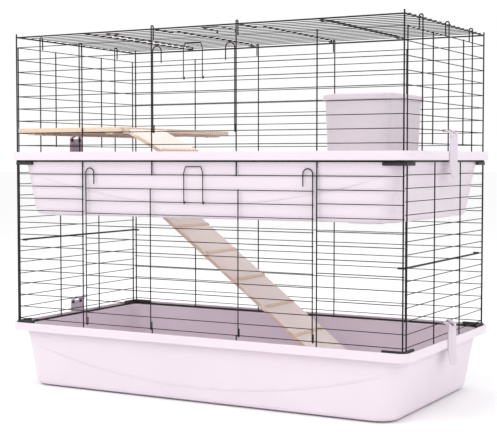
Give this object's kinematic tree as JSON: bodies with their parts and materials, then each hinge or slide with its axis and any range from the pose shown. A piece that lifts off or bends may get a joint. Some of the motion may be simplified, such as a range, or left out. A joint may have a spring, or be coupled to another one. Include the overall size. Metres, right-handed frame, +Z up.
{
  "type": "wire rabbit cage",
  "caption": "Two-storey wire rabbit cage on deep plastic trays, with hinged doors in front and roof, ramps between floors, a shelf, a hide and tray clips.",
  "frame": {"origin": "centre of the footprint, on the floor under the base tray", "axes": "+X along the length to the right, -Y to the front with the doors, +Z up"},
  "size_m": [1.1872, 0.602, 0.9657],
  "materials": {
    "tray_plastic": "satin moulded, pale lilac",
    "clip_plastic": "satin moulded, pale lilac",
    "hide_plastic": "satin moulded, grey lilac",
    "black_plastic": "matte black",
    "wire_coat": "black powder coat",
    "zinc_steel": "zinc plated",
    "board_wood": "sanded plain pale wood",
    "strip_wood": "sanded plain pale wood"
  },
  "bodies": {
    "cage": {"base_tray": "tray_plastic", "batten_screws": "zinc_steel", "lower_back_rows": "wire_coat", "lower_back_uprights": "wire_coat", "lower_bottom_frame": "wire_coat", "lower_corner_blocks": "black_plastic", "lower_corner_posts": "wire_coat", "lower_front_rows": "wire_coat", "lower_front_uprights": "wire_coat", "lower_left_rows": "wire_coat", "lower_left_uprights": "wire_coat", "lower_right_rows": "wire_coat", "lower_right_uprights": "wire_coat", "lower_top_frame": "wire_coat", "main_ramp_cheeks": "strip_wood", "middle_corner_blocks": "black_plastic", "middle_tray": "tray_plastic", "roof_cross_wires": "wire_coat", "roof_edge_frame": "wire_coat", "roof_rows": "wire_coat", "shelf": "board_wood", "shelf_battens": "strip_wood", "shelf_ramp_cheeks": "strip_wood", "tie_rod_left": "wire_coat", "tie_rod_right": "wire_coat", "upper_back_rows": "wire_coat", "upper_back_uprights": "wire_coat", "upper_bottom_frame": "wire_coat", "upper_corner_posts": "wire_coat", "upper_front_rows": "wire_coat", "upper_front_uprights": "wire_coat", "upper_left_rows": "wire_coat", "upper_left_uprights": "wire_coat", "upper_right_rows": "wire_coat", "upper_right_uprights": "wire_coat"},
    "upper_door": {"upper_door_sides": "wire_coat", "upper_door_rows": "wire_coat"},
    "upper_latch": {"upper_door_latch": "wire_coat"},
    "lower_door": {"lower_door_sides": "wire_coat", "lower_door_mids": "wire_coat", "lower_door_rows": "wire_coat"},
    "lower_latch": {"lower_door_latch": "wire_coat"},
    "roof_door": {"roof_door_sides": "wire_coat", "roof_door_mids": "wire_coat", "roof_door_rows": "wire_coat"},
    "roof_latch": {"roof_door_latch": "wire_coat"},
    "upper_left_clip": {"upper_left_clip": "clip_plastic"},
    "upper_right_clip": {"upper_right_clip": "clip_plastic"},
    "lower_left_clip": {"lower_left_clip": "clip_plastic"},
    "lower_right_clip": {"lower_right_clip": "clip_plastic"},
    "main_ramp": {"main_ramp": "board_wood", "main_ramp_cleats": "strip_wood", "main_ramp_rod": "zinc_steel"},
    "shelf_ramp": {"shelf_ramp": "board_wood", "shelf_ramp_cleats": "strip_wood", "shelf_ramp_rod": "zinc_steel"},
    "hide": {"hide_body": "hide_plastic", "hide_lid": "hide_plastic"}
  },
  "joints": [
    {"name": "upper_door_hinge", "type": "hinge", "parent": "cage", "child": "upper_door", "pos_m": [0, -0.2832, 0.6934], "axis": [1, 0, 0], "range_deg": [0, 140]},
    {"name": "upper_latch_hinge", "type": "hinge", "parent": "upper_door", "child": "upper_latch", "pos_m": [0, -0.2835, 0.827], "axis": [1, 0, 0], "range_deg": [0, 50]},
    {"name": "lower_door_hinge", "type": "hinge", "parent": "cage", "child": "lower_door", "pos_m": [0, -0.2832, 0.184], "axis": [1, 0, 0], "range_deg": [0, 92]},
    {"name": "lower_latch_hinge", "type": "hinge", "parent": "lower_door", "child": "lower_latch", "pos_m": [0, -0.2835, 0.5125], "axis": [1, 0, 0], "range_deg": [0, 50]},
    {"name": "roof_door_hinge", "type": "hinge", "parent": "cage", "child": "roof_door", "pos_m": [0, 0.25235, 0.9581], "axis": [-1, 0, 0], "range_deg": [0, 140]},
    {"name": "roof_latch_hinge", "type": "hinge", "parent": "roof_door", "child": "roof_latch", "pos_m": [0, -0.11776, 0.9584], "axis": [-1, 0, 0], "range_deg": [0, 50]},
    {"name": "upper_left_clip_hinge", "type": "hinge", "parent": "cage", "child": "upper_left_clip", "pos_m": [-0.5682, 0, 0.6934], "axis": [0, 1, 0], "range_deg": [0, 60]},
    {"name": "upper_right_clip_hinge", "type": "hinge", "parent": "cage", "child": "upper_right_clip", "pos_m": [0.5682, 0, 0.6934], "axis": [0, -1, 0], "range_deg": [0, 60]},
    {"name": "lower_left_clip_hinge", "type": "hinge", "parent": "cage", "child": "lower_left_clip", "pos_m": [-0.5682, 0, 0.2149], "axis": [0, 1, 0], "range_deg": [0, 60]},
    {"name": "lower_right_clip_hinge", "type": "hinge", "parent": "cage", "child": "lower_right_clip", "pos_m": [0.5682, 0, 0.2149], "axis": [0, -1, 0], "range_deg": [0, 60]},
    {"name": "main_ramp_hinge", "type": "hinge", "parent": "cage", "child": "main_ramp", "pos_m": [-0.322, 0.108, 0.482], "axis": [0, -1, 0], "range_deg": [0, 28]},
    {"name": "shelf_ramp_hinge", "type": "hinge", "parent": "cage", "child": "shelf_ramp", "pos_m": [-0.2162, -0.174, 0.6955], "axis": [0, -1, 0], "range_deg": [0, 45]},
    {"name": "hide_lift", "type": "slide", "parent": "cage", "child": "hide", "axis": [0, 0, 1], "range_m": [0, 0.12]}
  ]
}
